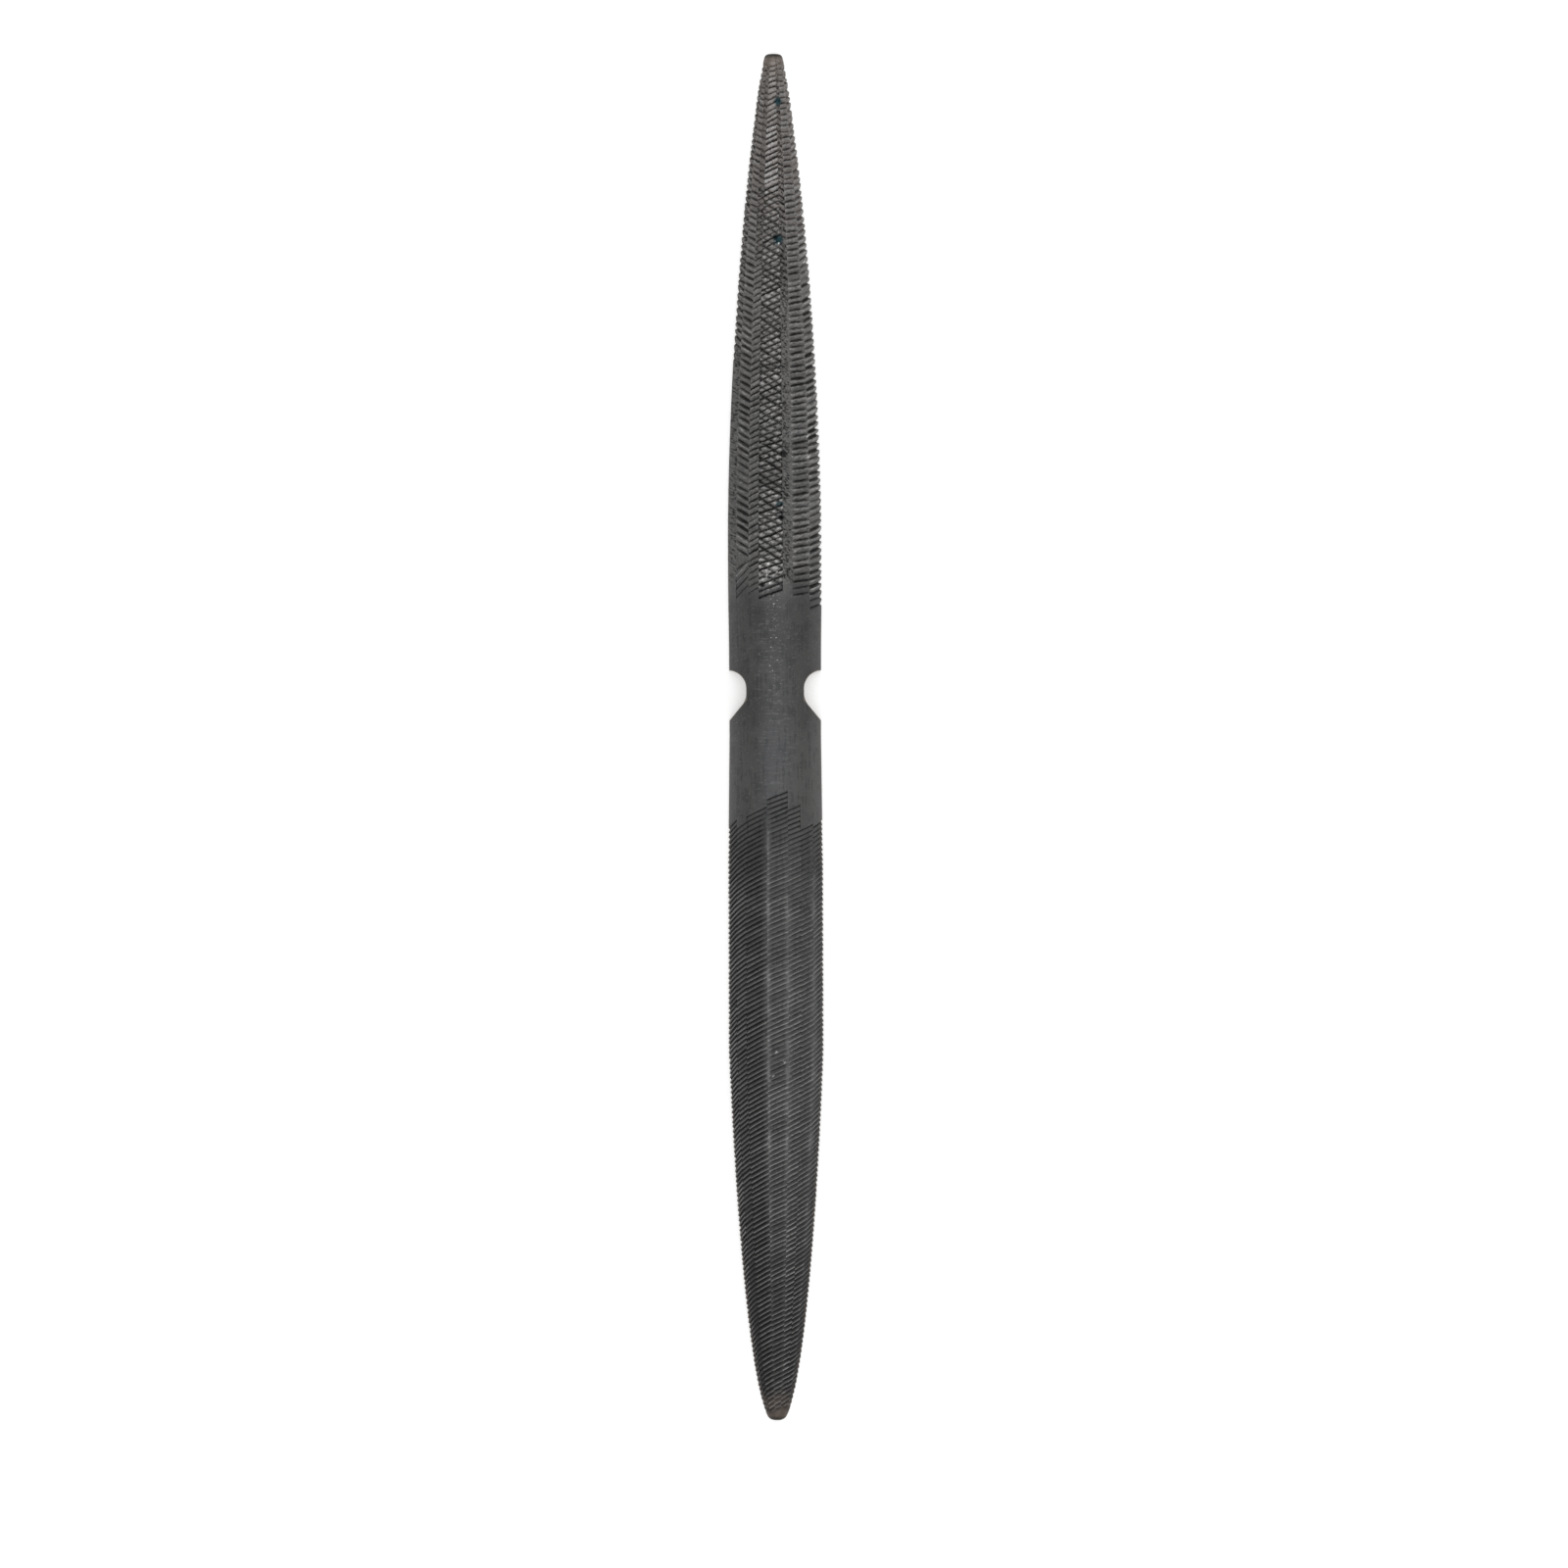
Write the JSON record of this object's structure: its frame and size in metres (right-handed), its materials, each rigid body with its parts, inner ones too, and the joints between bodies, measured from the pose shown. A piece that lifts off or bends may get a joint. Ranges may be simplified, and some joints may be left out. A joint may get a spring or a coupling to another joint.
{
  "type": "wax file",
  "caption": "Double-ended half-round hand file for carving wax, coarse teeth at one end, fine teeth at the other, plain notched waist between.",
  "frame": {"origin": "centre of the box around the file, at the level of its flat back", "axes": "+Y along the bar towards the tip of the coarse end, +Z out of the crowned side, +X across the bar to the right as seen from above"},
  "size_m": [0.0144, 0.207, 0.0051],
  "materials": {
    "blackened_steel": "hardened carbon steel with a thin dark oxide skin, worn brighter along the lane ridges and edges"
  },
  "bodies": {
    "root": {"file_blade": "blackened_steel"}
  },
  "joints": []
}
